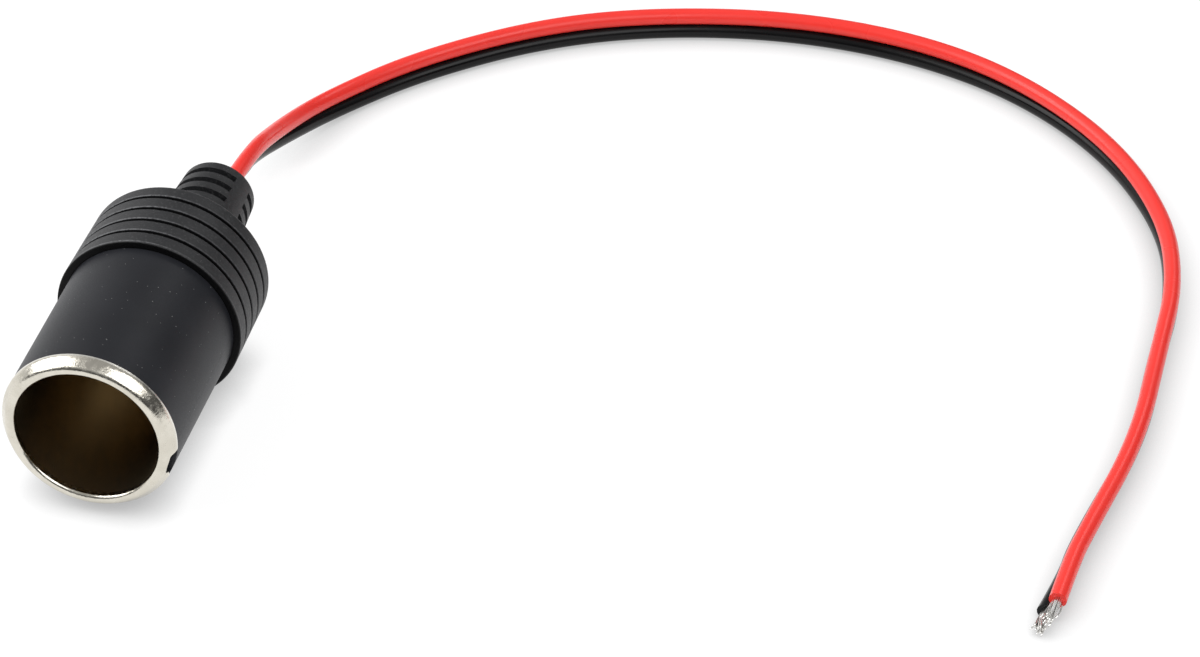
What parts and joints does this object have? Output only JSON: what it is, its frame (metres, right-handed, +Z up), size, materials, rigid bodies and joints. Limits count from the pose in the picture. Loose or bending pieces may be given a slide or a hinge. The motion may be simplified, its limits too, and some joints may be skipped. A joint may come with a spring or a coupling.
{
  "type": "car 12v power socket",
  "caption": "Round female 12 V car power socket: nickel-plated shell with a rolled lip in a plain black barrel, ribbed rear boot with slotted strain relief, and a red and black bare-ended lead.",
  "frame": {"origin": "floor point under the middle of the socket's length, the socket lying on its side and the lead left out", "axes": "+Z up; +Y along the socket's axis from the mouth to the strain relief, so the mouth faces -Y; +X to the right, seen from the mouth, on the side where the lead lies"},
  "size_m": [0.1583, 0.1458, 0.0282],
  "materials": {
    "nickel_shell": "drawn steel can, bright nickel plate, lightly worn on the lip",
    "barrel_black": "satin black moulded plastic",
    "boot_black": "matte soft black PVC with a fine mould texture",
    "insulator_brown": "brown laminated insulator board",
    "contact_nickel": "nickel-plated brass",
    "lug_brass": "stamped brass strip",
    "rivet_steel": "plated steel",
    "wire_red": "semi-gloss red PVC insulation",
    "wire_black": "semi-gloss black PVC insulation",
    "tinned_copper": "tinned copper strands"
  },
  "bodies": {
    "root": {"barrel_sleeve": "barrel_black", "black_conductor": "tinned_copper", "black_wire": "wire_black", "centre_contact": "contact_nickel", "contact_insulator": "insulator_brown", "ground_rivet": "rivet_steel", "negative_lug": "lug_brass", "positive_lug": "lug_brass", "rear_boot": "boot_black", "rear_insulator": "insulator_brown", "red_conductor": "tinned_copper", "red_wire": "wire_red", "socket_shell": "nickel_shell"}
  },
  "joints": []
}
